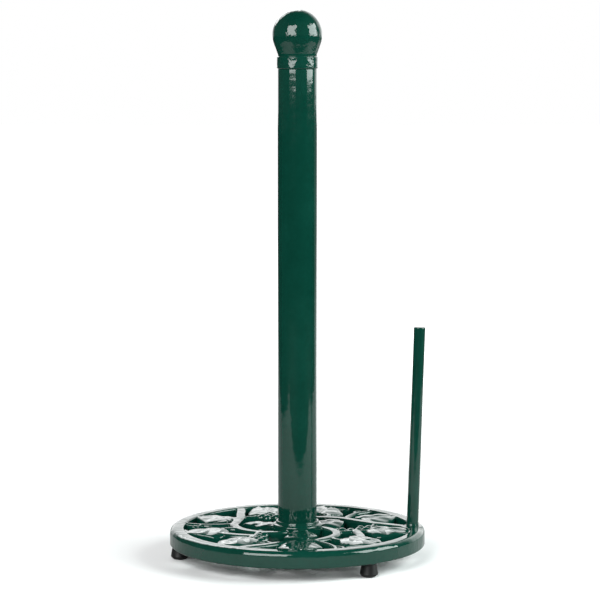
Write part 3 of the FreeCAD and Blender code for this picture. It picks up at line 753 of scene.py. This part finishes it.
def split_ring(outer, inner, low, high, gap, at=(0, 0)):
    """A spring washer: a ring cut once, gap degrees to each side, with its ends sprung a little apart."""
    rings = []
    for t in np.linspace(0, 1, 73):
        a = math.radians(gap + (360 - 2 * gap) * t)
        lift = (t - 0.5) * 0.25
        bottom, top = low + lift, high + lift
        corners = [(inner, bottom, 0.15), (outer, bottom, 0.2), (outer, top, 0.2), (inner, top, 0.15)]
        r, z = softened(corners, True, 3, 0.05).T
        x, y = at[0] + r * math.cos(a), at[1] + r * math.sin(a)
        rings.append(np.stack([x, y, np.clip(z, low, high)], 1))
    return np.swapaxes(np.array(rings), 0, 1)


WASHER_GAP_DEG = 6
rings = split_ring(4.4, 2.8, SCREW_SEAT_Z, 14.0, WASHER_GAP_DEG, (ARM_AT, 0))
spring = {"closed": True, "split": True}
rings_object(
    "arm_spring_washer", rings, ZINC, "arm_lock_washer", "stand", "zinc_steel", lean=arm_lean, **spring
)

# ---------------------------------------------------------------- the bolt under the hub
BOLT_SEAT_Z, BOLT_FACE_Z, BOLT_ACROSS, BOLT_HEAD_R, BOLT_R = 14.3, 9.0, 13.0, 6.3, 4.0
LOCK_WASHER_TOP_Z, FLAT_WASHER_TOP_Z = 15.9, 17.5


def bolt_shape(angle, r, z):
    """The head's rings are a hexagon, with its corners chamfered at the outer face."""
    if r < 4.5:
        return np.full_like(angle, r)
    limit = BOLT_ACROSS / 2 + (z - BOLT_FACE_Z) * 1.7 - 0.1
    return np.minimum(hexagon_radius(angle, BOLT_ACROSS), np.maximum(limit, r))


profile = [(0, 9.25), (3.2, 9.25), (4.2, 9.05), (4.6, BOLT_FACE_Z)]
side = (BOLT_FACE_Z, 9.1, 9.2, 9.35, 9.5, 9.7, 9.9, 11.0, 13.4, 13.9, 14.15, 14.2)
profile += [(BOLT_HEAD_R, z) for z in side]
profile += [(5.9, BOLT_SEAT_Z), (BOLT_R, BOLT_SEAT_Z), (BOLT_R, 30.4), (3.4, 31.0), (0, 31.0)]
rings = turned_rings(profile, 96, shape=bolt_shape)
rings_object("hub_bolt", rings, ZINC, "post_bolt", "stand", "zinc_steel")

bottom, top = LOCK_WASHER_TOP_Z, FLAT_WASHER_TOP_Z
flat = [(4.4, bottom, 0.15), (8.0, bottom, 0.35), (8.0, top, 0.2), (4.4, top, 0.15)]
rings = turned_rings(softened(flat, True, 4, 0.08), 96)
rings_object("hub_flat_washer", rings, ZINC, "post_flat_washer", "stand", "zinc_steel", closed=True)

rings = split_ring(7.2, 4.4, BOLT_SEAT_Z, LOCK_WASHER_TOP_Z, WASHER_GAP_DEG)
rings_object("hub_spring_washer", rings, ZINC, "post_lock_washer", "stand", "zinc_steel", **spring)

# ---------------------------------------------------------------- the rubber feet
sole = [(0.0, 0.0), (1.2, 0.0), (2.2, 0.02)] + arc_points((2.2, 0.02), (4.65, 0.84), (5.62, 1.9), 8)[1:]
pad = [(5.62, 1.9, 0), (5.75, 2.25, 0.4), (5.60, 3.0, 0.8), (4.72, 8.2, 0.5), (4.85, 8.95, 0.3)]
stem = [(2.9, UNDER_Z, 0.1), (2.9, 13.7, 0), (2.1, 14.5, 0), (0, 14.5, 0)]
profile = sole + [tuple(p) for p in softened(pad + stem)]


def slumped(degrees):
    """A shape that leans a foot's rubber sideways a few hundredths of a millimetre, most at the floor."""
    lean = math.radians(degrees)
    return lambda angle, r, z: r + (0.06 * np.sin(angle + lean) * (1 - z / UNDER_Z) if 3 < r else 0 * angle)


for name, degrees in zip(("foot_rear", "foot_left", "foot_right"), FOOT_DEGS):
    rings = turned_rings(profile, 64, polar(degrees, FOOT_AT_R), slumped(degrees))
    rings_object(name + "_rubber", rings, RUBBER, name, "stand", "black_rubber")

# ---------------------------------------------------------------- stage, camera, lights
FLOOR_SIDE = 12.0


def paper(name):
    """One flat sheet at the level the feet stand on, and its material; it isn't part of the object."""
    bpy.ops.mesh.primitive_plane_add(size=FLOOR_SIDE)
    sheet = bpy.context.object
    sheet.name = name
    nodes = Nodes(name)
    nodes.bsdf.inputs["Roughness"].default_value = 0.9
    nodes.bsdf.inputs["Specular IOR Level"].default_value = 0.1
    sheet.data.materials.append(nodes.mat)
    return sheet, nodes


def fades(nodes, value, dark_at, light_at):
    """0 at dark_at, 1 at light_at, and a smooth change between them."""
    n = nodes.add("ShaderNodeMapRange", From_Min=dark_at, From_Max=light_at)
    n.interpolation_type = "SMOOTHSTEP"
    nodes.link(value, n.inputs["Value"])
    return n.outputs["Result"]


# the pale floor that is seen: it glows further out, so that it runs into the backdrop with no edge
floor, m = paper("floor")
m.bsdf.inputs["Base Color"].default_value = (0.93, 0.92, 0.925, 1)
m.bsdf.inputs["Emission Color"].default_value = (1, 1, 1, 1)
away = m.add("ShaderNodeVectorMath")
away.operation = "LENGTH"
m.link(m.coord, away.inputs[0])
glow = fades(m, away.outputs["Value"], 0.16, 1.0)
m.link(m.math("MULTIPLY", glow, 0.9), m.bsdf.inputs["Emission Strength"])
floor.visible_diffuse = floor.visible_glossy = floor.visible_transmission = floor.visible_shadow = False

# the table that the object reflects, its colour painted with light and shade: a pale sheet under it, painted
# shade beyond, and a painted bright patch behind on the right
table, m = paper("table_in_reflections")
table.location.z = -0.0005
table.visible_camera = False
place = m.add("ShaderNodeSeparateXYZ")
m.link(m.coord, place.inputs["Vector"])
right, back = place.outputs["X"], place.outputs["Y"]
front = fades(m, m.math("SUBTRACT", back, m.math("MULTIPLY", right, 0.25)), -0.38, -0.34)
between = m.math("MULTIPLY", fades(m, right, -0.63, -0.57), fades(m, right, 0.72, 0.64))
sheet = m.math("MULTIPLY", between, front)
past = fades(m, m.math("SUBTRACT", back, m.math("MULTIPLY", right, 0.47)), 0.05, 0.35)
behind = m.math("MULTIPLY", past, fades(m, right, -0.3, 0.3))
# painted light and shade: the pale sheet and the bright patch behind, with dark everywhere else, stand in for
# how the studio around the object is lit
light = m.math("MAXIMUM", m.math("MULTIPLY", sheet, 0.55), behind)
painted_light_and_shade_greys = [(0.0, (0.02, 0.022, 0.022)), (1.0, (0.93, 0.905, 0.91))]
m.link(m.ramp(light, painted_light_and_shade_greys), m.bsdf.inputs["Base Color"])

# a long lens, 1.7 m in front and looking a little down
CAMERA_AT, CAMERA_DOWN_DEG, LENS, SENSOR = (0.0017, -1.698, 0.3578), 6.40, 159.8, 36.0
scene = bpy.context.scene
cam = bpy.data.cameras.new("camera")
cam.lens, cam.sensor_width = LENS, SENSOR
cam.clip_end = 20
camera = bpy.data.objects.new("camera", cam)
scene.collection.objects.link(camera)
camera.location = CAMERA_AT
camera.rotation_euler = (math.radians(90 - CAMERA_DOWN_DEG), 0, 0)
scene.camera = camera


def softbox(name, azimuth, distance, width, low, high, radiance, tint=(1, 1, 1)):
    """An area light that faces the object, its azimuth counted from the front towards +X."""
    a = math.radians(azimuth)
    data = bpy.data.lights.new(name, "AREA")
    data.shape, data.size, data.size_y = "RECTANGLE", width, high - low
    data.energy = radiance * math.pi * width * (high - low)
    data.color = tint
    o = bpy.data.objects.new(name, data)
    scene.collection.objects.link(o)
    o.location = (distance * math.sin(a), -distance * math.cos(a), (low + high) / 2)
    aim = Vector((0, 0, 0.28 * (low + high) / 2 + 0.12)) - o.location
    o.rotation_euler = aim.to_track_quat("-Z", "Y").to_euler()
    return o


softbox("key_left", -29, 1.25, 0.95, 0.247, 1.25, 8.5, (0.97, 1.0, 0.99))
softbox("key_right", 80, 1.2, 1.05, 0.247, 1.15, 9.5, (0.91, 1.0, 0.98))
softbox("back_fill", 197, 1.9, 1.3, 0.75, 1.75, 3.0)

# ---------------------------------------------------------------- the world
# a studio that is bright behind the object, a little to the right, and dimmer high up
BRIGHT_AT = math.radians(14)
world = bpy.data.worlds.new("world")
scene.world = world
world.use_nodes = True
tree = world.node_tree
coord = tree.nodes.new("ShaderNodeTexCoord")
facing = tree.nodes.new("ShaderNodeVectorMath")
facing.operation = "DOT_PRODUCT"
facing.inputs[1].default_value = (math.sin(BRIGHT_AT), math.cos(BRIGHT_AT), 0)
tree.links.new(coord.outputs["Generated"], facing.inputs[0])
ramp = tree.nodes.new("ShaderNodeValToRGB")
tree.links.new(facing.outputs["Value"], ramp.inputs["Fac"])
stops = [*ramp.color_ramp.elements, ramp.color_ramp.elements.new(0.75)]
for e, (at, v) in zip(stops, [(0.62, 0.04), (0.76, 0.35), (0.88, 1.0)]):
    e.position, e.color = at, (v, v, v * 1.01, 1)
height = tree.nodes.new("ShaderNodeSeparateXYZ")
tree.links.new(coord.outputs["Generated"], height.inputs[0])
band = tree.nodes.new("ShaderNodeMapRange")
band.interpolation_type = "SMOOTHSTEP"
for key, v in (("From Min", 0.97), ("From Max", 0.60), ("To Min", 0.15), ("To Max", 1.0)):
    band.inputs[key].default_value = v
tree.links.new(height.outputs["Z"], band.inputs["Value"])
dimmed = tree.nodes.new("ShaderNodeVectorMath")
dimmed.operation = "SCALE"
tree.links.new(ramp.outputs["Color"], dimmed.inputs[0])
tree.links.new(band.outputs["Result"], dimmed.inputs["Scale"])
studio = tree.nodes["Background"]
tree.links.new(dimmed.outputs["Vector"], studio.inputs["Color"])
studio.inputs["Strength"].default_value = 1.7
# past the floor the camera sees plain white, and the studio is there for light and reflections only
plain = tree.nodes.new("ShaderNodeBackground")
plain.inputs["Color"].default_value = (1, 1, 1, 1)
path = tree.nodes.new("ShaderNodeLightPath")
either = tree.nodes.new("ShaderNodeMixShader")
tree.links.new(path.outputs["Is Camera Ray"], either.inputs[0])
tree.links.new(studio.outputs[0], either.inputs[1])
tree.links.new(plain.outputs[0], either.inputs[2])
tree.links.new(either.outputs[0], tree.nodes["World Output"].inputs["Surface"])
scene.view_settings.view_transform = "Standard"
